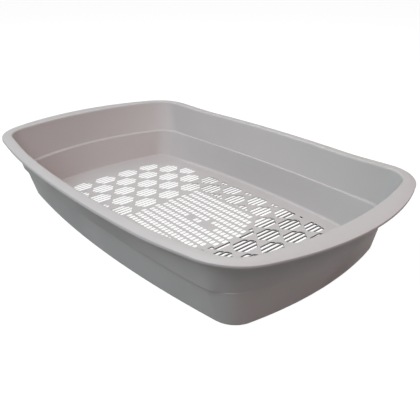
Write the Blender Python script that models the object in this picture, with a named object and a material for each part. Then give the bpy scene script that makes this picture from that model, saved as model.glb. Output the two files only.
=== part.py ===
"""Sifting litter tray: a drafted, stepped shell with a turned-out rim, and the perforated floor in it."""
import math

import bmesh
import bpy
import numpy as np
from mathutils import Vector
from mathutils.geometry import delaunay_2d_cdt

MM = 0.001

# size over the rim
LENGTH = 480.0 * MM
WIDTH = 298.0 * MM

# how far the other outlines lie in from the rim's outer edge, at the ends and at the sides
RIM_END_INSET = 20.6 * MM
RIM_SIDE_INSET = 11.9 * MM
STEP_END_INSET = 32.5 * MM
STEP_SIDE_INSET = 26.0 * MM
FLOOR_END_INSET = 43.1 * MM
FLOOR_SIDE_INSET = 32.6 * MM
SIEVE_END_INSET = 69.5 * MM
SIEVE_SIDE_INSET = 45.5 * MM

# radii of the bowed ends, of the bowed sides and of the corners
RIM_OUTER_RADII = (271.0 * MM, 1357.0 * MM, 56.0 * MM)
RIM_INNER_RADII = (372.0 * MM, 1170.0 * MM, 33.6 * MM)
STEP_RADII = (285.0 * MM, 1840.0 * MM, 30.6 * MM)
FLOOR_RADII = (407.0 * MM, 1186.0 * MM, 23.2 * MM)
SIEVE_RADII = (380.0 * MM, 1500.0 * MM, 50.0 * MM)

# plan outlines: half length, half width, and the three radii
RIM_OUTER = (LENGTH / 2, WIDTH / 2) + RIM_OUTER_RADII
RIM_INNER = (LENGTH / 2 - RIM_END_INSET, WIDTH / 2 - RIM_SIDE_INSET) + RIM_INNER_RADII
STEP = (LENGTH / 2 - STEP_END_INSET, WIDTH / 2 - STEP_SIDE_INSET) + STEP_RADII
FLOOR = (LENGTH / 2 - FLOOR_END_INSET, WIDTH / 2 - FLOOR_SIDE_INSET) + FLOOR_RADII
SIEVE = (LENGTH / 2 - SIEVE_END_INSET, WIDTH / 2 - SIEVE_SIDE_INSET) + SIEVE_RADII

# heights above the underside
FLOOR_TOP = 2.5 * MM
STEP_HEIGHT = 39.2 * MM
STEP_RISE = 0.5 * MM
RIM_INNER_HEIGHT = 80.6 * MM
RIM_OUTER_HEIGHT = 79.8 * MM

# the rim dips along the middle of both long sides
RIM_DIP = 4.3 * MM
STEP_DIP = 1.0 * MM
DIP_END_INSET = 49.0 * MM
DIP_RUN = 60.0 * MM
DIP_NONE_BEYOND = LENGTH / 2 - DIP_END_INSET
DIP_FULL_WITHIN = DIP_NONE_BEYOND - DIP_RUN

# sections
WALL = 2.5 * MM
STEP_WIDTH = 1.5 * MM
RIM_THICKNESS = 2.3 * MM
LIP_DEPTH = 3.3 * MM
LIP_THICKNESS = 2.0 * MM
SIEVE_THICKNESS = 1.5 * MM
SEAT_CLEARANCE = 0.3 * MM

# lengths that the roundings take from the edges on both sides of a corner
FLOOR_FILLET = 3.4 * MM
BASE_FILLET = 5.0 * MM
CREST_FILLET = 2.4 * MM
RIM_EDGE_FILLET = 1.0 * MM
RIM_UNDER_FILLET = 1.6 * MM

# pattern of the sieve
PATTERN_CENTRE_Y = -2.2 * MM
PATTERN_MARGIN = 4.0 * MM
COLUMN_PITCH = 22.42 * MM
END_COLUMN_PITCH = 23.9 * MM
END_COLUMN = -3
END_COLUMN_X = -57.5 * MM
END_SHIFT_Y = 1.5 * MM
ROW_PITCH = 17.94 * MM
CELL_SLOPE = 0.78
CELL_APEX = 16.0 * MM
BARE_CORNER_LENGTH = 30.5 * MM
BARE_CORNER_WIDTH = 23.5 * MM
SLOT_PITCH = 5.35 * MM
SLOT_WIDTH = 4.1 * MM
SLOTS_PER_CELL = 4
SHORTEST_SLOT = 0.8 * MM

# field of small holes in the middle of the sieve
FIELD_LEFT = -46.0 * MM
FIELD_RIGHT = 82.0 * MM
FIELD_HALF_WIDTH = 56.5 * MM
FIELD_CORNER_X = 61.0 * MM
FIELD_STEP_X = 77.0 * MM
FIELD_STEP_HALF_WIDTH = 32.0 * MM
FIELD_END_HALF_WIDTH = 24.0 * MM
FIELD_BAR = 3.0 * MM
HOLE_PITCH = 5.72 * MM
HOLE_ROW_PITCH = 10.2 * MM
HOLE_WIDTH = 4.3 * MM
HOLE_LENGTH = 7.0 * MM
HOLE_ROWS_EACH_WAY = 5
FIRST_HOLE_X = -40.9 * MM
BARE_PADS = ((0, 6.5 * MM, 15.5 * MM), (0, 30.0 * MM, 50.0 * MM), (1, 31.0 * MM, 36.0 * MM))

# points of the pattern closer than this become one
POINT_MERGE = 0.0003 * MM

# fineness of the curves
END_STEPS = 5
CORNER_STEPS = 6
SIDE_STEPS = 9
FLOOR_FILLET_STEPS = 2
CREST_STEPS = 3
RIM_EDGE_STEPS = 2
UNDER_STEPS = 1
BASE_STEPS = 3
SHARP_ANGLE = 35.0
TRIANGLES_INSIDE = 1


def corner_circle(outline):
    """Centre of the corner arc, which touches the end arc and the side arc from inside."""
    half_length, half_width, end_radius, side_radius, corner_radius = outline
    end_centre = half_length - end_radius
    side_centre = half_width - side_radius
    reach_end = end_radius - corner_radius
    reach_side = side_radius - corner_radius
    span = math.hypot(end_centre, side_centre)
    along = (reach_end ** 2 - reach_side ** 2 + span ** 2) / (2 * span)
    across = math.sqrt(reach_end ** 2 - along ** 2)
    to_side = (-end_centre / span, side_centre / span)
    centre_x = end_centre + along * to_side[0] - across * to_side[1]
    centre_y = along * to_side[1] + across * to_side[0]
    if centre_y < 0 or centre_x < 0:
        centre_x = end_centre + along * to_side[0] + across * to_side[1]
        centre_y = along * to_side[1] - across * to_side[0]
    return centre_x, centre_y


def grown(outline, offset):
    """The same outline moved outward by one distance all round."""
    return tuple(value + offset for value in outline)


def plan_points(outline):
    """Points of the closed outline, anticlockwise from the middle of the right end."""
    half_length, half_width, end_radius, side_radius, corner_radius = outline
    centre_x, centre_y = corner_circle(outline)
    end_turn = math.atan2(centre_y, centre_x - (half_length - end_radius))
    side_turn = math.atan2(centre_y - (half_width - side_radius), centre_x)
    quarter = []
    for angle in np.linspace(0, end_turn, END_STEPS, endpoint=False):
        x = half_length - end_radius + end_radius * math.cos(angle)
        quarter.append((x, end_radius * math.sin(angle)))
    for angle in np.linspace(end_turn, side_turn, CORNER_STEPS, endpoint=False):
        x = centre_x + corner_radius * math.cos(angle)
        quarter.append((x, centre_y + corner_radius * math.sin(angle)))
    for angle in np.linspace(side_turn, math.pi / 2, SIDE_STEPS, endpoint=False):
        y = half_width - side_radius + side_radius * math.sin(angle)
        quarter.append((side_radius * math.cos(angle), y))
    first = np.array(quarter)
    middle = np.array([(0, half_width)])
    second = first[1:][::-1] * (-1, 1)
    upper = np.vstack((first, middle, second))
    left = np.array([(-half_length, 0)])
    lower = upper[1:][::-1] * (1, -1)
    return np.vstack((upper, left, lower))


def half_width_at(outline, x):
    """Half width of an outline at a distance x from its middle."""
    half_length, half_width, end_radius, side_radius, corner_radius = outline
    centre_x, centre_y = corner_circle(outline)
    x = abs(x)
    if x >= half_length:
        return 0
    side_turn = math.atan2(centre_y - (half_width - side_radius), centre_x)
    end_turn = math.atan2(centre_y, centre_x - (half_length - end_radius))
    if x <= side_radius * math.cos(side_turn):
        return half_width - side_radius + math.sqrt(side_radius ** 2 - x ** 2)
    if x <= centre_x + corner_radius * math.cos(end_turn):
        return centre_y + math.sqrt(corner_radius ** 2 - (x - centre_x) ** 2)
    return math.sqrt(end_radius ** 2 - (x - half_length + end_radius) ** 2)


def dip_share(x):
    """One along the middle of the long sides, falling smoothly to nought near the ends."""
    t = np.clip((np.abs(x) - DIP_FULL_WITHIN) / (DIP_NONE_BEYOND - DIP_FULL_WITHIN), 0, 1)
    return 1 - t * t * (3 - 2 * t)


def ring(outline, height, dip=0.0, offset=0.0):
    """A closed ring of points at one height, lowered by dip along the long sides."""
    plan = plan_points(grown(outline, offset))
    level = height - dip * dip_share(plan[:, 0])
    return np.column_stack((plan, level))


def towards(start, goal, distance):
    """Points a fixed distance from start on the way to goal."""
    way = goal - start
    return start + way * (distance / np.linalg.norm(way, axis=1))[:, None]


def rounded(before, corner, after, reach, steps):
    """Rings of a curve that leaves one edge and joins the next around a corner ring."""
    start = towards(corner, before, reach)
    stop = towards(corner, after, reach)
    rings = []
    for t in np.linspace(0, 1, steps + 1):
        rings.append(start * (1 - t) ** 2 + corner * (2 * t * (1 - t)) + stop * t ** 2)
    return rings


def shell_rings():
    """Section of the shell as rings: inside from the sieve seat up, over the rim, and down outside."""
    seat = grown(SIEVE, SEAT_CLEARANCE)
    corners = [
        (ring(seat, 0), 0, 0),
        (ring(seat, FLOOR_TOP), 0, 0),
        (ring(FLOOR, FLOOR_TOP), FLOOR_FILLET, FLOOR_FILLET_STEPS),
        (ring(STEP, STEP_HEIGHT, STEP_DIP), 0, 0),
        (ring(STEP, STEP_HEIGHT + STEP_RISE, STEP_DIP, STEP_WIDTH), 0, 0),
        (ring(RIM_INNER, RIM_INNER_HEIGHT, RIM_DIP), CREST_FILLET, CREST_STEPS),
        (ring(RIM_OUTER, RIM_OUTER_HEIGHT, RIM_DIP), RIM_EDGE_FILLET, RIM_EDGE_STEPS),
        (ring(RIM_OUTER, RIM_OUTER_HEIGHT - LIP_DEPTH, RIM_DIP), 0, 0),
        (ring(RIM_OUTER, RIM_OUTER_HEIGHT - LIP_DEPTH, RIM_DIP, -LIP_THICKNESS), 0, 0),
        (ring(RIM_OUTER, RIM_OUTER_HEIGHT - RIM_THICKNESS, RIM_DIP, -LIP_THICKNESS), 0, 0),
        (ring(RIM_INNER, RIM_INNER_HEIGHT - RIM_THICKNESS, RIM_DIP, WALL), RIM_UNDER_FILLET, UNDER_STEPS),
        (ring(STEP, STEP_HEIGHT, STEP_DIP, STEP_WIDTH + WALL), 0, 0),
        (ring(STEP, STEP_HEIGHT - STEP_RISE, STEP_DIP, WALL), 0, 0),
        (ring(FLOOR, 0, 0, WALL), BASE_FILLET, BASE_STEPS),
    ]
    rings = []
    for index, (corner, reach, steps) in enumerate(corners):
        if steps:
            before = corners[index - 1][0]
            after = corners[(index + 1) % len(corners)][0]
            rings.extend(rounded(before, corner, after, reach, steps))
        else:
            rings.append(corner)
    return rings


def make_object(name, mesh_build, material):
    """Turns a bmesh into a named object with outward faces."""
    bmesh.ops.recalc_face_normals(mesh_build, faces=mesh_build.faces)
    mesh = bpy.data.meshes.new(name)
    mesh_build.to_mesh(mesh)
    mesh_build.free()
    made = bpy.data.objects.new(name, mesh)
    bpy.context.scene.collection.objects.link(made)
    mesh.materials.append(material)
    return made


def make_shell(material):
    """Closed band of quads through all rings."""
    build = bmesh.new()
    loops = [[build.verts.new(point) for point in points] for points in shell_rings()]
    for index, lower in enumerate(loops):
        upper = loops[(index + 1) % len(loops)]
        for place in range(len(lower)):
            after = (place + 1) % len(lower)
            build.faces.new((lower[place], lower[after], upper[after], upper[place]))
    shell = make_object("tray_shell", build, material)
    for face in shell.data.polygons:
        face.use_smooth = True
    shell.data.set_sharp_from_angle(angle=math.radians(SHARP_ANGLE))
    return shell


def field_half_width(x):
    """Half width of the field of small holes at x: full, then narrowing, then a step to its right end."""
    if x <= FIELD_CORNER_X:
        return FIELD_HALF_WIDTH
    if x > FIELD_STEP_X:
        return FIELD_END_HALF_WIDTH
    share = (x - FIELD_CORNER_X) / (FIELD_STEP_X - FIELD_CORNER_X)
    return FIELD_HALF_WIDTH + (FIELD_STEP_HALF_WIDTH - FIELD_HALF_WIDTH) * share


def cell_centre(column, row):
    """Middle of a diamond cell; the columns left of the field are wider apart and lie further back."""
    if column < END_COLUMN:
        x = END_COLUMN_X + (column - END_COLUMN) * END_COLUMN_PITCH
    else:
        x = END_COLUMN_X + (column - END_COLUMN) * COLUMN_PITCH
    y = PATTERN_CENTRE_Y + row * ROW_PITCH
    if column <= END_COLUMN:
        y += END_SHIFT_Y
    return x, y


def slot_pieces(left, right, cell_x, cell_y):
    """Slot of a diamond cell, cut by the pattern's outline and kept off the field of small holes."""
    limit = grown(SIEVE, -PATTERN_MARGIN)
    if max(abs(left), abs(right)) >= limit[0]:
        return []
    low = []
    high = []
    for x in (left, right):
        half = CELL_APEX - CELL_SLOPE * abs(x - cell_x)
        edge = half_width_at(limit, x)
        low.append(max(cell_y - half, PATTERN_CENTRE_Y - edge))
        high.append(min(cell_y + half, PATTERN_CENTRE_Y + edge))
    parts = [(low, high)]
    if right > FIELD_LEFT and left < FIELD_RIGHT:
        bars = []
        for x in (left, right):
            inside = min(max(x, FIELD_LEFT), FIELD_RIGHT)
            bars.append(field_half_width(inside) + FIELD_BAR)
        above = [max(value, PATTERN_CENTRE_Y + bar) for value, bar in zip(low, bars)]
        below = [min(value, PATTERN_CENTRE_Y - bar) for value, bar in zip(high, bars)]
        parts = [(above, high), (low, below)]
    kept = []
    for bottom, top in parts:
        if min(top[0] - bottom[0], top[1] - bottom[1]) >= SHORTEST_SLOT:
            kept.append([(left, bottom[0]), (right, bottom[1]), (right, top[1]), (left, top[0])])
    return kept


def lattice_slots():
    """Slots of every diamond cell of the lattice."""
    columns = math.ceil(SIEVE[0] / COLUMN_PITCH) + 2
    rows = math.ceil(SIEVE[1] / ROW_PITCH) + 1
    slots = []
    for column in range(-columns, columns + 1):
        for row in range(-rows, rows + 1):
            cell_x, cell_y = cell_centre(column, row)
            near_end = abs(cell_x) > SIEVE[0] - BARE_CORNER_LENGTH
            in_corner = near_end and abs(cell_y) > SIEVE[1] - BARE_CORNER_WIDTH
            if (column + row) % 2 or in_corner:
                continue
            for index in range(SLOTS_PER_CELL):
                middle = cell_x + (index - (SLOTS_PER_CELL - 1) / 2) * SLOT_PITCH
                slots.extend(slot_pieces(middle - SLOT_WIDTH / 2, middle + SLOT_WIDTH / 2, cell_x, cell_y))
    return slots


def field_holes():
    """Staggered rows of small holes, with two pads left bare in the middle row."""
    holes = []
    for row in range(-HOLE_ROWS_EACH_WAY, HOLE_ROWS_EACH_WAY + 1):
        y = PATTERN_CENTRE_Y + row * HOLE_ROW_PITCH
        x = FIRST_HOLE_X if row % 2 else FIRST_HOLE_X + HOLE_PITCH / 2
        while x + HOLE_WIDTH / 2 < FIELD_RIGHT:
            fits = abs(y - PATTERN_CENTRE_Y) + HOLE_LENGTH / 2 <= field_half_width(x + HOLE_WIDTH / 2)
            bare = any(row == pad and start <= x <= stop for pad, start, stop in BARE_PADS)
            if fits and not bare:
                left, right = x - HOLE_WIDTH / 2, x + HOLE_WIDTH / 2
                bottom, top = y - HOLE_LENGTH / 2, y + HOLE_LENGTH / 2
                holes.append([(left, bottom), (right, bottom), (right, top), (left, top)])
            x += HOLE_PITCH
    return holes


def make_sieve(material):
    """Flat plate with every slot and hole cut through it."""
    rim = [tuple(point) for point in plan_points(SIEVE)]
    loops = [rim] + lattice_slots() + field_holes()
    points = []
    edges = []
    owners = []
    for number, loop in enumerate(loops):
        first = len(points)
        points.extend(Vector(point) for point in loop)
        owners.extend(number for point in loop)
        edges.extend((first + place, first + (place + 1) % len(loop)) for place in range(len(loop)))
    flat = delaunay_2d_cdt(points, edges, [], TRIANGLES_INSIDE, POINT_MERGE)
    owner = [owners[sources[0]] for sources in flat[3]]
    triangles = []
    for corners in flat[2]:
        found = {owner[corner] for corner in corners}
        if len(found) > 1 or 0 in found:
            triangles.append(corners)
    build = bmesh.new()
    lower = [build.verts.new((point.x, point.y, FLOOR_TOP - SIEVE_THICKNESS)) for point in flat[0]]
    upper = [build.verts.new((point.x, point.y, FLOOR_TOP)) for point in flat[0]]
    sides = set()
    for a, b, c in triangles:
        build.faces.new((upper[a], upper[b], upper[c]))
        build.faces.new((lower[c], lower[b], lower[a]))
        sides.update(((a, b), (b, c), (c, a)))
    for start, stop in sorted(sides):
        if (stop, start) not in sides:
            build.faces.new((lower[start], lower[stop], upper[stop], upper[start]))
    return make_object("sieve_floor", build, material)


def plastic(name):
    """Plain moulded plastic in the tray's pale warm grey."""
    material = bpy.data.materials.new(name)
    material.use_nodes = True
    shader = material.node_tree.nodes["Principled BSDF"]
    shader.inputs["Base Color"].default_value = (0.52, 0.49, 0.48, 1.0)
    shader.inputs["Roughness"].default_value = 0.45
    shader.inputs["Metallic"].default_value = 0.0
    return material


def clear_scene():
    for old in list(bpy.data.objects):
        bpy.data.objects.remove(old, do_unlink=True)


clear_scene()
make_shell(plastic("shell_plastic"))
make_sieve(plastic("sieve_plastic"))
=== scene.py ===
"""Looks of the sifting litter tray: one moulded skin of satin plastic, on a pale studio floor."""
import math

import bpy
import numpy as np
from mathutils import Matrix, Vector
from mathutils.geometry import delaunay_2d_cdt


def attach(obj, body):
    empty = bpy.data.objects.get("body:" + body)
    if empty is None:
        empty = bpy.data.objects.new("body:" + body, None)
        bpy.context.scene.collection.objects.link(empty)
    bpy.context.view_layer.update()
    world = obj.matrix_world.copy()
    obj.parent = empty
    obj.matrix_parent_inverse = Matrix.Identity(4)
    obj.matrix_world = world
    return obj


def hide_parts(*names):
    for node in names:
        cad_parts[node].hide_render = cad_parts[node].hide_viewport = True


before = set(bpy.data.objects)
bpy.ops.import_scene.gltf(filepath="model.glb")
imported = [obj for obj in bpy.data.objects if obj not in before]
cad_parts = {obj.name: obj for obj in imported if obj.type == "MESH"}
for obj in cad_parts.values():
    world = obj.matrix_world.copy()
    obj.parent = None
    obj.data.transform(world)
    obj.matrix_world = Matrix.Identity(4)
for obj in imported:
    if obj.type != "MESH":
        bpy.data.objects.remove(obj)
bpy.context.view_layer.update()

# all sizes are in millimetres, but for those of the studio, which are in metres
MM = 0.001

# plan outlines: half length, half width, radius of the bowed ends, radius of the bowed sides, corner radius
RIM_OUTER = (240.0, 149.0, 271.0, 1357.0, 56.0)
RIM_INNER = (219.4, 137.1, 372.0, 1170.0, 33.6)
STEP = (207.5, 123.0, 285.0, 1840.0, 30.6)
FLOOR = (196.9, 116.4, 407.0, 1186.0, 23.2)
SIEVE = (170.5, 103.5, 380.0, 1500.0, 50.0)

# heights above the underside, and how far rim and step dip along the middle of both long sides
FLOOR_TOP = 2.5
STEP_HEIGHT = 39.2
STEP_RISE = 0.5
END_STEP_RISE = 1.3
OUTER_STEP_HEIGHT = 40.7
LIP_BASE_HEIGHT = 77.2
RIM_EDGE_HEIGHT = 79.45
RIM_HEIGHT = 80.5
RIM_DIP = 4.3
STEP_DIP = 1.0
DIP_FULL_WITHIN = 108.0
DIP_NONE_BEYOND = 205.0

# sections of wall, inner step and outer step, which fades through the corners and is sharper below
WALL = 2.5
STEP_WIDTH = 1.5
SIDE_LEDGE_SPREAD = 0.3
END_LEDGE_SPREAD = 1.3
OUTER_STEP_SPREAD = 0.6
OUTER_STEP_FROM = 174.0
OUTER_STEP_RUN = 11.0
OUTER_STEP_SHARPER = 1.4

# sections of the rim and its lip, which lies further in at the ends and flares below at the long sides
RIM_THICKNESS = 1.7
SHOULDER_WIDTH = 6.0
LIP_THICKNESS = 2.0
END_LIP_INSET = 1.1
END_LIP_FLARE = -0.1
SIDE_LIP_INSET = 0.1
SIDE_LIP_FLARE = 0.8

# how far each corner of the section is rounded along both of its edges
FLOOR_FILLET = 3.4
END_FLOOR_FILLET = 1.4
FILLET_CLEARANCE = 0.02
LEDGE_ROUND = 0.3
CREST_ROUND = 2.4
RIM_EDGE_ROUND = 0.6
LIP_BASE_ROUND = 0.3
FINE_ROUND = 0.2
RIM_FILLET = 5.0
BASE_FILLET = 5.0

# pattern of the sieve: a lattice of diamond cells of slots, and a field of small holes in its middle
PATTERN_CENTRE_Y = -2.2
PATTERN_MARGIN = 4.0
COLUMN_PITCH = 22.42
END_COLUMN_PITCH = 23.9
END_COLUMN = -3
END_COLUMN_X = -57.5
END_SHIFT_Y = 1.5
COLUMNS_EACH_WAY = 11
ROW_PITCH = 17.94
ROWS_EACH_WAY = 8
CELL_SLOPE = 0.78
CELL_APEX = 16.0
CORNER_CELL_X = 140.0
CORNER_CELL_Y = 80.0
SLOTS_PER_CELL = 4
SLOT_PITCH = 5.35
SLOT_WIDTH = 4.1
SHORTEST_SLOT = 0.8
FIELD_LEFT = -46.0
FIELD_RIGHT = 82.0
FIELD_HALF_WIDTH = 56.5
FIELD_CORNER_X = 61.0
FIELD_STEP_X = 77.0
FIELD_STEP_HALF_WIDTH = 32.0
FIELD_END_HALF_WIDTH = 24.0
FIELD_BAR = 3.0
HOLE_PITCH = 5.72
HOLES_PER_ROW = 23
HOLE_ROW_PITCH = 10.2
HOLE_ROWS_EACH_WAY = 5
HOLE_WIDTH = 4.3
HOLE_LENGTH = 7.0
FIRST_HOLE_X = -40.9

# stretches without holes: row of the field, and from where to where along the tray
BARE_PADS = ((0, 6.5, 15.5), (0, 30.0, 50.0), (1, 31.0, 36.0))

# ribs between slots: thin at the left and in the field, a little deeper beside it, deepest at the right
THIN_RIB = 0.5
DEEP_RIB = 1.6
DEEP_FROM = 58.0
DEEP_RUN = 28.0
BESIDE_FROM = -85.0
BESIDE_RUN = 25.0
BESIDE_SHARE = 0.4

# edges of the slots: how far the upper edge is eased, and how much wider thin and deep slots are below
EDGE_EASE = 0.18
EASE_BEND = 0.3
THIN_DRAFT = 0.32
DEEP_DRAFT = 0.08
SLOT_CORNER = 0.9
HOLE_CORNER = 1.5
MOST_OF_EDGE = 0.42

# steepest angles, in degrees, that are still shaded smooth
SKIN_SMOOTH = 50
WEB_SMOOTH = 40

# tones and light levels
PLASTIC_TONE = (0.58, 0.546, 0.532)
DARKER_CLOUD = 0.965
LIGHTER_CLOUD = 1.03
# painted shade: the walls of deep slots are darkened to this share of the plastic's tone, standing in for the
# shade inside the slots
SLOT_WALL_PAINTED_SHADE = 0.1
FLOOR_BOUNCE = 0.2
FLOOR_SHADE = 0.12
FLOOR_GLOW = 0.97
ROOM_LIGHT = 0.02

# studio, in metres
FLOOR_REACH = 6.0
FLOOR_LEVEL = -0.0003
TRAY_MIDDLE = (0.0, 0.0, 0.03)
CAMERA_PLACE = (0.41027, -0.32707, 0.26569)
CAMERA_AIM = (-0.67068, 0.59488, -0.44306)
CAMERA_LENS_MM = 42.40
CAMERA_SENSOR_MM = 36.0


def corner_circle(outline):
    """Centre of the corner arc that touches the end arc and the side arc from inside."""
    half_length, half_width, end_radius, side_radius, corner_radius = outline
    end_centre = half_length - end_radius
    side_centre = half_width - side_radius
    reach_end = end_radius - corner_radius
    reach_side = side_radius - corner_radius
    span = math.hypot(end_centre, side_centre)
    along = (reach_end ** 2 - reach_side ** 2 + span ** 2) / (2 * span)
    across = math.sqrt(reach_end ** 2 - along ** 2)
    to_side = (-end_centre / span, side_centre / span)
    centre_x = end_centre + along * to_side[0] - across * to_side[1]
    centre_y = along * to_side[1] + across * to_side[0]
    if centre_y < 0 or centre_x < 0:
        centre_x = end_centre + along * to_side[0] + across * to_side[1]
        centre_y = along * to_side[1] - across * to_side[0]
    return centre_x, centre_y


def grown(outline, offset):
    """The same outline moved outward by one distance all round."""
    return tuple(value + offset for value in outline)


def plan_loop(outline, end_steps=10, corner_steps=16, side_steps=22):
    """Closed outline in plan: to a quarter three arcs, r (cos a, sin a) about their centres, mirrored twice."""
    half_length, half_width, end_radius, side_radius, corner_radius = outline
    centre_x, centre_y = corner_circle(outline)
    end_turn = math.atan2(centre_y, centre_x - (half_length - end_radius))
    side_turn = math.atan2(centre_y - (half_width - side_radius), centre_x)
    ends = np.linspace(0, end_turn, end_steps, endpoint=False)
    corners = np.linspace(end_turn, side_turn, corner_steps, endpoint=False)
    sides = np.linspace(side_turn, math.pi / 2, side_steps, endpoint=False)
    arcs = (
        (half_length - end_radius + end_radius * np.cos(ends), end_radius * np.sin(ends)),
        (centre_x + corner_radius * np.cos(corners), centre_y + corner_radius * np.sin(corners)),
        (side_radius * np.cos(sides), half_width - side_radius + side_radius * np.sin(sides)),
    )
    first = np.concatenate([np.column_stack(arc) for arc in arcs])
    second = first[1:][::-1] * (-1, 1)
    upper = np.vstack((first, [(0, half_width)], second))
    lower = upper[1:][::-1] * (1, -1)
    return np.vstack((upper, [(-half_length, 0)], lower))


def rising(x, start, run):
    """Nought before start, one after its run, and t t (3 - 2 t) between."""
    t = np.clip((x - start) / run, 0, 1)
    return t * t * (3 - 2 * t)


def dip_share(x):
    """One along the middle of the long sides, falling smoothly to nought near the ends."""
    return 1 - rising(np.abs(x), DIP_FULL_WITHIN, DIP_NONE_BEYOND - DIP_FULL_WITHIN)


def level_ring(outline, height, dip=0.0, offset=0.0):
    """A closed ring at one height, lowered by dip along the long sides."""
    plan = plan_loop(grown(outline, offset))
    return np.column_stack((plan, height - dip * dip_share(plan[:, 0])))


def blended(side, end):
    """One ring for the long sides and one for the ends: s side + (1 - s) end, where s is the dip's share."""
    share = dip_share(end[:, 0])[:, None]
    return side * share + end * (1 - share)


def lip_ring(height, inward=0.0, flared=0.0):
    """A ring of the lip, which is flared below at the long sides and upright at the ends."""
    side = level_ring(RIM_OUTER, height, RIM_DIP, -SIDE_LIP_INSET - SIDE_LIP_FLARE * flared - inward)
    end = level_ring(RIM_OUTER, height, RIM_DIP, -END_LIP_INSET - END_LIP_FLARE * flared - inward)
    return blended(side, end)


def ledge_ring(side_rise, end_rise, width, outward):
    """A ring of the inner step's ledge, which is wider and slopes more at the ends."""
    side = level_ring(STEP, STEP_HEIGHT + side_rise, STEP_DIP, width + outward * SIDE_LEDGE_SPREAD)
    end = level_ring(STEP, STEP_HEIGHT + end_rise, STEP_DIP, width + outward * END_LEDGE_SPREAD)
    return blended(side, end)


def outer_step_ring(height, side_width, end_width, sharper=0.0):
    """A ring of the outer step: (1 - s) side + s end, where s rises from nought to one in the corners."""
    side = level_ring(STEP, height, STEP_DIP, side_width)
    end = level_ring(STEP[:4] + (STEP[4] - sharper,), height, STEP_DIP, end_width)
    share = rising(np.abs(end[:, 0]), OUTER_STEP_FROM, OUTER_STEP_RUN)[:, None]
    return side * (1 - share) + end * share


def towards(start, goal, distance):
    """Points at a distance from start on the way to goal."""
    way = goal - start
    return start + way * (distance / np.linalg.norm(way, axis=1))[:, None]


def rounding(before, corner, after, reach, steps):
    """Rings (1-t)(1-t) a + 2 t (1-t) b + t t c that round off a corner ring between its two neighbours."""
    start = towards(corner, before, reach)
    stop = towards(corner, after, reach)
    t = np.linspace(0, 1, steps + 1)[:, None, None]
    return start * (1 - t) ** 2 + corner * (2 * t * (1 - t)) + stop * t ** 2


def shell_section():
    """Rings of the skin, from the floor's edge up inside, over the rim and its lip, and back down outside.

    Each corner ring comes with the reach and the steps of its rounding. A corner without steps stays sharp.
    """
    outer_ledge = STEP_WIDTH + WALL
    outer_foot = OUTER_STEP_HEIGHT - STEP_RISE
    floor_corner = level_ring(FLOOR, FLOOR_TOP)
    side_fillet = FLOOR_FILLET - FILLET_CLEARANCE
    floor_fillet = END_FLOOR_FILLET + (side_fillet - END_FLOOR_FILLET) * dip_share(floor_corner[:, 0])
    corners = [
        (level_ring(FLOOR, 0, 0, -FLOOR_FILLET), 0, 0),
        (level_ring(FLOOR, FLOOR_TOP, 0, -FLOOR_FILLET), 0, 0),
        (floor_corner, floor_fillet, 7),
        (ledge_ring(0, 0, 0, -1), LEDGE_ROUND, 3),
        (ledge_ring(STEP_RISE, END_STEP_RISE, STEP_WIDTH, 1), LEDGE_ROUND, 3),
        (level_ring(RIM_INNER, RIM_HEIGHT, RIM_DIP), CREST_ROUND, 9),
        (level_ring(RIM_OUTER, RIM_HEIGHT, RIM_DIP, -SHOULDER_WIDTH), CREST_ROUND, 5),
        (lip_ring(RIM_EDGE_HEIGHT, 0, 1), RIM_EDGE_ROUND, 5),
        (lip_ring(LIP_BASE_HEIGHT), LIP_BASE_ROUND, 2),
        (lip_ring(LIP_BASE_HEIGHT, LIP_THICKNESS), FINE_ROUND, 2),
        (lip_ring(RIM_EDGE_HEIGHT - RIM_THICKNESS, LIP_THICKNESS), FINE_ROUND, 2),
        (level_ring(RIM_INNER, RIM_HEIGHT - RIM_THICKNESS, RIM_DIP, WALL), RIM_FILLET, 7),
        (outer_step_ring(OUTER_STEP_HEIGHT, outer_ledge + OUTER_STEP_SPREAD, outer_ledge), FINE_ROUND, 3),
        (outer_step_ring(outer_foot, WALL - OUTER_STEP_SPREAD, outer_ledge, OUTER_STEP_SHARPER), FINE_ROUND, 3),
        (level_ring(FLOOR, 0, 0, WALL), BASE_FILLET, 9),
    ]
    rings = []
    for index, (corner, reach, steps) in enumerate(corners):
        if steps:
            before = corners[index - 1][0]
            after = corners[(index + 1) % len(corners)][0]
            rings.append(rounding(before, corner, after, reach, steps))
        else:
            rings.append(corner[None])
    return np.concatenate(rings)


def mesh_piece(name, points, faces, material, smooth_angle):
    """Named object with its mesh in place, shaded smooth up to an angle."""
    mesh = bpy.data.meshes.new(name)
    mesh.from_pydata(np.asarray(points) * MM, [], faces)
    mesh.validate()
    mesh.polygons.foreach_set("use_smooth", np.ones(len(mesh.polygons), bool))
    mesh.set_sharp_from_angle(angle=math.radians(smooth_angle))
    mesh.materials.append(material)
    piece = bpy.data.objects.new(name, mesh)
    bpy.context.scene.collection.objects.link(piece)
    return piece


def make_skin(material):
    """The tub: its section's rings, joined by quads round the outline and from the last ring to the first."""
    rings = shell_section()
    rows, columns = rings.shape[:2]
    row = np.arange(rows)[:, None] * columns
    column = np.arange(columns)[None, :]
    after_row = (row + columns) % (rows * columns)
    after_column = (column + 1) % columns
    corners = (row + column, row + after_column, after_row + after_column, after_row + column)
    faces = np.stack(corners, axis=-1).reshape(-1, 4)
    return mesh_piece("tray_skin", rings.reshape(-1, 3), faces.tolist(), material, SKIN_SMOOTH)


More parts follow.
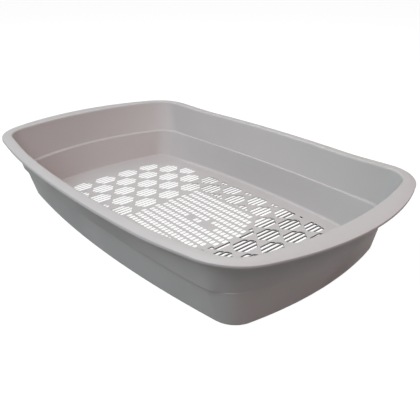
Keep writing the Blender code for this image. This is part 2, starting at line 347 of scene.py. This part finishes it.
def half_width_at(outline, x):
    """Half width of an outline at distances x from its middle, from whichever of its three arcs is there."""
    half_length, half_width, end_radius, side_radius, corner_radius = outline
    centre_x, centre_y = corner_circle(outline)
    x = np.abs(x)
    side_turn = math.atan2(centre_y - (half_width - side_radius), centre_x)
    end_turn = math.atan2(centre_y, centre_x - (half_length - end_radius))
    side = half_width - side_radius + np.sqrt(side_radius ** 2 - x ** 2)
    corner = centre_y + np.sqrt(np.maximum(corner_radius ** 2 - (x - centre_x) ** 2, 0))
    end = np.sqrt(np.maximum(end_radius ** 2 - (x - half_length + end_radius) ** 2, 0))
    on_side = x <= side_radius * math.cos(side_turn)
    on_corner = x <= centre_x + corner_radius * math.cos(end_turn)
    return np.where(on_side, side, np.where(on_corner, corner, end))


def field_half_width(x):
    """Half width of the field of small holes at x: full, then narrowing, then a step to its right end."""
    share = (x - FIELD_CORNER_X) / (FIELD_STEP_X - FIELD_CORNER_X)
    narrowing = FIELD_HALF_WIDTH + (FIELD_STEP_HALF_WIDTH - FIELD_HALF_WIDTH) * share
    right_part = np.where(x > FIELD_STEP_X, FIELD_END_HALF_WIDTH, narrowing)
    return np.where(x <= FIELD_CORNER_X, FIELD_HALF_WIDTH, right_part)


def quads_between(left, right, low, high):
    """Four corners of each slot, from its two sides and the low and high end of each side."""
    x = np.column_stack((left, right, right, left))
    y = np.column_stack((low[:, 0], low[:, 1], high[:, 1], high[:, 0]))
    return np.stack((x, y), axis=-1)


def each_way(count):
    """Whole numbers from minus a count to the count."""
    return np.arange(-count, count + 1)


def lattice_slots():
    """Corners of all slots of the diamond cells, cut by the pattern's edge and by the field of small holes."""
    places = np.meshgrid(each_way(COLUMNS_EACH_WAY), each_way(ROWS_EACH_WAY), np.arange(SLOTS_PER_CELL))
    column, row, slot = (grid.ravel() for grid in places)
    pitch = np.where(column < END_COLUMN, END_COLUMN_PITCH, COLUMN_PITCH)
    cell_x = END_COLUMN_X + (column - END_COLUMN) * pitch
    cell_y = PATTERN_CENTRE_Y + row * ROW_PITCH + np.where(column <= END_COLUMN, END_SHIFT_Y, 0)
    middle = cell_x + (slot - (SLOTS_PER_CELL - 1) / 2) * SLOT_PITCH
    sides = np.column_stack((middle - SLOT_WIDTH / 2, middle + SLOT_WIDTH / 2))
    limit = grown(SIEVE, -PATTERN_MARGIN)
    in_corner = (np.abs(cell_x) > CORNER_CELL_X) & (np.abs(cell_y) > CORNER_CELL_Y)
    kept = ((column + row) % 2 == 0) & ~in_corner & (np.abs(sides).max(axis=1) < limit[0])
    cell_x, cell_y, sides = cell_x[kept, None], cell_y[kept, None], sides[kept]
    half = CELL_APEX - CELL_SLOPE * np.abs(sides - cell_x)
    edge = half_width_at(limit, sides)
    low = np.maximum(cell_y - half, PATTERN_CENTRE_Y - edge)
    high = np.minimum(cell_y + half, PATTERN_CENTRE_Y + edge)
    beside = (sides[:, 1] > FIELD_LEFT) & (sides[:, 0] < FIELD_RIGHT)
    bar = field_half_width(np.clip(sides, FIELD_LEFT, FIELD_RIGHT)) + FIELD_BAR
    above = np.maximum(low, PATTERN_CENTRE_Y + bar)
    below = np.minimum(high, PATTERN_CENTRE_Y - bar)
    groups = (
        (sides[~beside], low[~beside], high[~beside]),
        (sides[beside], above[beside], high[beside]),
        (sides[beside], low[beside], below[beside]),
    )
    side = np.concatenate([group[0] for group in groups])
    bottom = np.concatenate([group[1] for group in groups])
    top = np.concatenate([group[2] for group in groups])
    long_enough = (top - bottom).min(axis=1) >= SHORTEST_SLOT
    side, bottom, top = side[long_enough], bottom[long_enough], top[long_enough]
    return quads_between(side[:, 0], side[:, 1], bottom, top)


def field_holes():
    """Corners of the small holes, in staggered rows, without those of the bare pads."""
    places = np.meshgrid(each_way(HOLE_ROWS_EACH_WAY), np.arange(HOLES_PER_ROW))
    row, place = (grid.ravel() for grid in places)
    y = PATTERN_CENTRE_Y + row * HOLE_ROW_PITCH
    x = FIRST_HOLE_X + place * HOLE_PITCH + np.where(row % 2 == 0, HOLE_PITCH / 2, 0)
    right = x + HOLE_WIDTH / 2
    fits = (right < FIELD_RIGHT) & (np.abs(y - PATTERN_CENTRE_Y) + HOLE_LENGTH / 2 <= field_half_width(right))
    for pad_row, start, stop in BARE_PADS:
        fits &= ~((row == pad_row) & (x >= start) & (x <= stop))
    x, y = x[fits], y[fits]
    low = np.column_stack((y, y)) - HOLE_LENGTH / 2
    return quads_between(x - HOLE_WIDTH / 2, x + HOLE_WIDTH / 2, low, low + HOLE_LENGTH)


def off_field(points):
    """Nought in the field of small holes, rising to one over the bar round it."""
    away = np.abs(points[..., 1] - PATTERN_CENTRE_Y) - field_half_width(points[..., 0])
    inside_x = (points[..., 0] > FIELD_LEFT - FIELD_BAR) & (points[..., 0] < FIELD_RIGHT)
    return np.where(inside_x, np.clip(away / FIELD_BAR, 0, 1), 1)


def rib_share(points):
    """Nought where ribs are thin, one where deep: the greater of two smooth rises with x, off the field."""
    beside = BESIDE_SHARE * rising(points[..., 0], BESIDE_FROM, BESIDE_RUN)
    beside = beside * (np.abs(points[..., 1] - PATTERN_CENTRE_Y) > FIELD_HALF_WIDTH)
    return np.maximum(rising(points[..., 0], DEEP_FROM, DEEP_RUN), beside) * off_field(points)


def spread(corners, distance):
    """Quads whose sides are all moved outward: each corner goes where its two moved sides cross."""
    ahead = np.roll(corners, -1, axis=1) - corners
    ahead = ahead / np.linalg.norm(ahead, axis=2, keepdims=True)
    behind = np.roll(ahead, 1, axis=1)
    out_ahead = np.stack((ahead[..., 1], -ahead[..., 0]), axis=-1)
    out_behind = np.stack((behind[..., 1], -behind[..., 0]), axis=-1)
    turn = 1 + (out_ahead * out_behind).sum(axis=2, keepdims=True)
    return corners + (out_ahead + out_behind) * (distance / turn)


def rounded_loops(corners, radius, steps=3):
    """Closed loops through the quads, each corner rounded by (1-t)(1-t) a + 2 t (1-t) b + t t c."""
    before = np.roll(corners, 1, axis=1) - corners
    after = np.roll(corners, -1, axis=1) - corners
    length_before = np.linalg.norm(before, axis=2, keepdims=True)
    length_after = np.linalg.norm(after, axis=2, keepdims=True)
    start = corners + before / length_before * np.minimum(radius, MOST_OF_EDGE * length_before)
    stop = corners + after / length_after * np.minimum(radius, MOST_OF_EDGE * length_after)
    start, middle, stop = start[:, :, None], corners[:, :, None], stop[:, :, None]
    t = np.linspace(0, 1, steps + 1)[None, None, :, None]
    bent = start * (1 - t) ** 2 + middle * (2 * t * (1 - t)) + stop * t ** 2
    return bent.reshape(len(corners), -1, 2)


def sheet_with_holes(rim, loops):
    """Triangles of a flat sheet inside the rim and outside every loop, and the points they use, rim first."""
    count = loops.shape[1]
    around = np.zeros(len(rim), int)
    number = np.arange(len(loops))
    points = np.vstack((rim, loops.reshape(-1, 2)))
    owner = np.concatenate((around, np.repeat(number + 1, count)))
    start = np.concatenate((around, len(rim) + np.repeat(number * count, count)))
    place = np.arange(len(points))
    size = np.where(owner == 0, len(rim), count)
    edges = np.column_stack((place, start + (place - start + 1) % size))
    flat = delaunay_2d_cdt([Vector(point) for point in points], edges.tolist(), [], 1, 1e-6)
    assert len(flat[0]) == len(points)
    order = np.array([sources[0] for sources in flat[3]])
    triangles = order[np.array(flat[2])]
    owners = owner[triangles]
    in_hole = (owners[:, 0] == owners[:, 1]) & (owners[:, 1] == owners[:, 2]) & (owners[:, 0] > 0)
    return points, triangles[~in_hole]


def band_between(place, after, upper, lower):
    """Quads between two equal loops, whose points are numbered from upper and from lower."""
    return np.stack((place + lower, after + lower, after + upper, place + upper), axis=-1).reshape(-1, 4)


def make_web(material):
    """The floor: a flat sheet pierced by drafted slots and holes with eased edges, and its solid border."""
    slots = lattice_slots()
    holes = field_holes()
    edge_rim = plan_loop(grown(FLOOR, -FLOOR_FILLET))
    sieve_rim = plan_loop(SIEVE)
    cut = np.concatenate((slots, holes))
    corner = np.repeat((SLOT_CORNER, HOLE_CORNER), (len(slots), len(holes)))[:, None, None]
    draft = THIN_DRAFT + (DEEP_DRAFT - THIN_DRAFT) * rib_share(cut.mean(axis=1))[:, None, None]
    bend = EDGE_EASE * EASE_BEND
    rings = [rounded_loops(spread(cut, wider), corner) for wider in (EDGE_EASE, bend, 0.0, draft)]
    top_points, top_faces = sheet_with_holes(edge_rim, rings[0])
    low_points, low_faces = sheet_with_holes(sieve_rim, rings[-1])
    around = len(edge_rim)
    total, count = rings[0].shape[:2]

    layers = [np.column_stack((top_points, np.full(len(top_points), FLOOR_TOP)))]
    starts = [around]
    reached = len(top_points)
    for loops, depth in zip(rings[1:-1], (bend, EDGE_EASE)):
        flat = loops.reshape(-1, 2)
        layers.append(np.column_stack((flat, np.full(len(flat), FLOOR_TOP - depth))))
        starts.append(reached)
        reached += len(flat)
    low_start = reached
    rib_depth = THIN_RIB + (DEEP_RIB - THIN_RIB) * rib_share(low_points)
    layers.append(np.column_stack((low_points, FLOOR_TOP - rib_depth)))
    starts.append(low_start + around)
    recess_rim = low_start + len(low_points)
    layers.append(np.column_stack((sieve_rim, np.zeros(around))))
    base_rim = recess_rim + around
    layers.append(np.column_stack((edge_rim, np.zeros(around))))

    loop = np.arange(total)[:, None] * count
    place = loop + np.arange(count)[None, :]
    after = loop + (np.arange(count)[None, :] + 1) % count
    slot_walls = [band_between(place, after, upper, lower) for upper, lower in zip(starts[:-1], starts[1:])]
    ring = np.arange(around)
    ring_after = (ring + 1) % around
    borders = [
        band_between(ring, ring_after, low_start, recess_rim),
        band_between(ring, ring_after, recess_rim, base_rim),
        band_between(ring, ring_after, 0, base_rim),
    ]
    sheets = [top_faces, low_faces[:, ::-1] + low_start]
    listed = [face for group in sheets + slot_walls + borders for face in group.tolist()]
    web = mesh_piece("sieve_web", np.vstack(layers), listed, material, WEB_SMOOTH)

    # painted shade: the side faces of deep slots carry their rib share, by which the material darkens their
    # colour
    sides = np.concatenate(slot_walls)
    shade = np.zeros(len(listed))
    first = len(top_faces) + len(low_faces)
    shade[first:first + len(sides)] = rib_share(np.vstack(layers)[sides].mean(axis=1))
    web.data.attributes.new("slot_painted_shade", "FLOAT", "FACE").data.foreach_set("value", shade)
    return web


def noise_texture(tree, scale, detail, roughness=0.5):
    """Noise on the object's own coordinates."""
    place = tree.nodes.new("ShaderNodeTexCoord")
    noise = tree.nodes.new("ShaderNodeTexNoise")
    noise.inputs["Scale"].default_value = scale
    noise.inputs["Detail"].default_value = detail
    noise.inputs["Roughness"].default_value = roughness
    tree.links.new(place.outputs["Object"], noise.inputs["Vector"])
    return noise.outputs["Fac"]


def colour_mix(tree, share, other):
    """Colour that goes from its first input, still to be set, to the other as the share rises."""
    mix = tree.nodes.new("ShaderNodeMix")
    mix.data_type = "RGBA"
    mix.inputs[7].default_value = other + (1.0,)
    tree.links.new(share, mix.inputs[0])
    return mix


def mapped(tree, value, start, stop, low, high):
    """A value between start and stop, carried over to low and high and held at both."""
    ramp = tree.nodes.new("ShaderNodeMapRange")
    ramp.inputs["From Min"].default_value = start
    ramp.inputs["From Max"].default_value = stop
    ramp.inputs["To Min"].default_value = low
    ramp.inputs["To Max"].default_value = high
    tree.links.new(value, ramp.inputs["Value"])
    return ramp.outputs["Result"]


def toned(tone, share):
    """A tone made darker or lighter by a share."""
    return tuple(value * share for value in tone)


def moulded_plastic(name, tone):
    """Satin moulded polypropylene: pale warm grey with faint clouding, uneven sheen and a fine sparked grain.

    The walls of deep slots, by a share the mesh carries, are darkened towards dark grey as painted shade.
    """
    material = bpy.data.materials.new(name)
    material.use_nodes = True
    tree = material.node_tree
    shader = tree.nodes["Principled BSDF"]
    shader.inputs["IOR"].default_value = 1.49
    shader.inputs["Specular IOR Level"].default_value = 0.35

    clouds = colour_mix(tree, noise_texture(tree, 9.0, 4.0, 0.6), toned(tone, LIGHTER_CLOUD))
    clouds.inputs[6].default_value = toned(tone, DARKER_CLOUD) + (1.0,)
    # painted shade: the colour of the walls of deep slots is mixed towards dark grey by the share the mesh
    # carries
    depth = tree.nodes.new("ShaderNodeAttribute")
    depth.attribute_name = "slot_painted_shade"
    painted_slot_shade = colour_mix(tree, depth.outputs["Fac"], toned(tone, SLOT_WALL_PAINTED_SHADE))
    tree.links.new(clouds.outputs[2], painted_slot_shade.inputs[6])
    tree.links.new(painted_slot_shade.outputs[2], shader.inputs["Base Color"])

    slant = tree.nodes.new("ShaderNodeLayerWeight")
    gloss = mapped(tree, slant.outputs["Facing"], 0.3, 0.75, 0.45, 0.02)
    tree.links.new(gloss, shader.inputs["Specular IOR Level"])
    sheen = mapped(tree, noise_texture(tree, 45.0, 3.0), 0.3, 0.7, 0.36, 0.46)
    tree.links.new(sheen, shader.inputs["Roughness"])

    bump = tree.nodes.new("ShaderNodeBump")
    bump.inputs["Strength"].default_value = 0.12
    bump.inputs["Distance"].default_value = 0.0002
    tree.links.new(noise_texture(tree, 1100.0, 2.0), bump.inputs["Height"])
    tree.links.new(bump.outputs["Normal"], shader.inputs["Normal"])
    return material


def seen_directly(tree):
    """One for camera, glossy and transmission rays, as the greatest of the three, and nought for others."""
    path = tree.nodes.new("ShaderNodeLightPath")
    mirrored = tree.nodes.new("ShaderNodeMath")
    mirrored.operation = "MAXIMUM"
    tree.links.new(path.outputs["Is Glossy Ray"], mirrored.inputs[0])
    tree.links.new(path.outputs["Is Transmission Ray"], mirrored.inputs[1])
    seen = tree.nodes.new("ShaderNodeMath")
    seen.operation = "MAXIMUM"
    tree.links.new(path.outputs["Is Camera Ray"], seen.inputs[0])
    tree.links.new(mirrored.outputs[0], seen.inputs[1])
    return seen.outputs[0]


def backdrop_paper():
    """Paper, white where seen or mirrored and dimmed by the tray's shadow, grey in the light it returns."""
    material = bpy.data.materials.new("backdrop_paper")
    material.use_nodes = True
    tree = material.node_tree
    tree.nodes.clear()
    out = tree.nodes.new("ShaderNodeOutputMaterial")
    paper = tree.nodes.new("ShaderNodeBsdfDiffuse")
    paper.inputs["Color"].default_value = (FLOOR_BOUNCE, FLOOR_BOUNCE, FLOOR_BOUNCE, 1)
    shadowed = tree.nodes.new("ShaderNodeBsdfDiffuse")
    shadowed.inputs["Color"].default_value = (FLOOR_SHADE, FLOOR_SHADE, FLOOR_SHADE, 1)
    glow = tree.nodes.new("ShaderNodeEmission")
    glow.inputs["Color"].default_value = (1, 1, 1, 1)
    glow.inputs["Strength"].default_value = FLOOR_GLOW
    bright = tree.nodes.new("ShaderNodeAddShader")
    mix = tree.nodes.new("ShaderNodeMixShader")
    tree.links.new(shadowed.outputs[0], bright.inputs[0])
    tree.links.new(glow.outputs[0], bright.inputs[1])
    tree.links.new(seen_directly(tree), mix.inputs[0])
    tree.links.new(paper.outputs[0], mix.inputs[1])
    tree.links.new(bright.outputs[0], mix.inputs[2])
    tree.links.new(mix.outputs[0], out.inputs["Surface"])
    return material


def studio_floor():
    """Large pale floor, a hair below the tray, so that the two faces don't coincide."""
    mesh = bpy.data.meshes.new("studio_floor")
    turns = ((-1, -1), (1, -1), (1, 1), (-1, 1))
    corners = [(FLOOR_REACH * x, FLOOR_REACH * y, FLOOR_LEVEL) for x, y in turns]
    mesh.from_pydata(corners, [], [(0, 1, 2, 3)])
    mesh.materials.append(backdrop_paper())
    floor = bpy.data.objects.new("studio_floor", mesh)
    bpy.context.scene.collection.objects.link(floor)


def studio_world():
    """Plain white room where it is seen or mirrored, and a dim, even light for the rest."""
    world = bpy.data.worlds.new("studio_room")
    world.use_nodes = True
    bpy.context.scene.world = world
    tree = world.node_tree
    tree.nodes.clear()
    out = tree.nodes.new("ShaderNodeOutputWorld")
    room = tree.nodes.new("ShaderNodeBackground")
    room.inputs["Color"].default_value = (1, 1, 1, 1)
    room.inputs["Strength"].default_value = ROOM_LIGHT
    white = tree.nodes.new("ShaderNodeBackground")
    white.inputs["Color"].default_value = (1, 1, 1, 1)
    white.inputs["Strength"].default_value = 1.0
    mix = tree.nodes.new("ShaderNodeMixShader")
    tree.links.new(seen_directly(tree), mix.inputs[0])
    tree.links.new(room.outputs[0], mix.inputs[1])
    tree.links.new(white.outputs[0], mix.inputs[2])
    tree.links.new(mix.outputs[0], out.inputs["Surface"])


def soft_lamp(name, place, width, power, colour):
    """Square soft lamp aimed at the middle of the tray."""
    data = bpy.data.lights.new(name, "AREA")
    data.shape = "SQUARE"
    data.size = width
    data.energy = power
    data.color = colour
    lamp = bpy.data.objects.new(name, data)
    bpy.context.scene.collection.objects.link(lamp)
    aim = (Vector(TRAY_MIDDLE) - Vector(place)).to_track_quat("-Z", "Y")
    lamp.matrix_world = Matrix.Translation(place) @ aim.to_matrix().to_4x4()


def photo_camera():
    """Camera where the photograph was taken from, by the fitted outlines."""
    data = bpy.data.cameras.new("photo_camera")
    data.lens = CAMERA_LENS_MM
    data.sensor_width = CAMERA_SENSOR_MM
    camera = bpy.data.objects.new("photo_camera", data)
    bpy.context.scene.collection.objects.link(camera)
    aim = Vector(CAMERA_AIM).to_track_quat("-Z", "Y")
    camera.matrix_world = Matrix.Translation(CAMERA_PLACE) @ aim.to_matrix().to_4x4()
    bpy.context.scene.camera = camera


photo_camera()
studio_floor()
studio_world()
soft_lamp("left_lamp", (-1.2, 0.0, 1.9), 1.0, 7.4, (0.8, 1.0, 1.0))
soft_lamp("back_left_lamp", (-1.1, 0.85, 1.4), 0.8, 5.6, (0.92, 1.0, 0.96))
soft_lamp("front_lamp", (0.0, -1.4, 1.6), 1.0, 21.6, (0.8, 0.92, 1.0))
soft_lamp("front_left_lamp", (-0.3, -1.2, 1.8), 0.5, 3.0, (1.0, 1.0, 1.0))
soft_lamp("right_lamp", (1.3, 0.0, 1.7), 1.0, 16.4, (1.0, 0.78, 0.78))
soft_lamp("back_lamp", (0.0, 1.4, 1.6), 1.0, 1.6, (0.7, 1.0, 0.95))
soft_lamp("low_lamp", (0.0, -2.0, 0.35), 0.8, 1.6, (0.95, 1.0, 0.85))

plastic = moulded_plastic("satin_plastic", PLASTIC_TONE)
skin = make_skin(plastic)
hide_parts("tray_shell")
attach(skin, "root")
web = make_web(plastic)
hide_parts("sieve_floor")
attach(web, "root")

bpy.context.scene.view_settings.view_transform = "Standard"
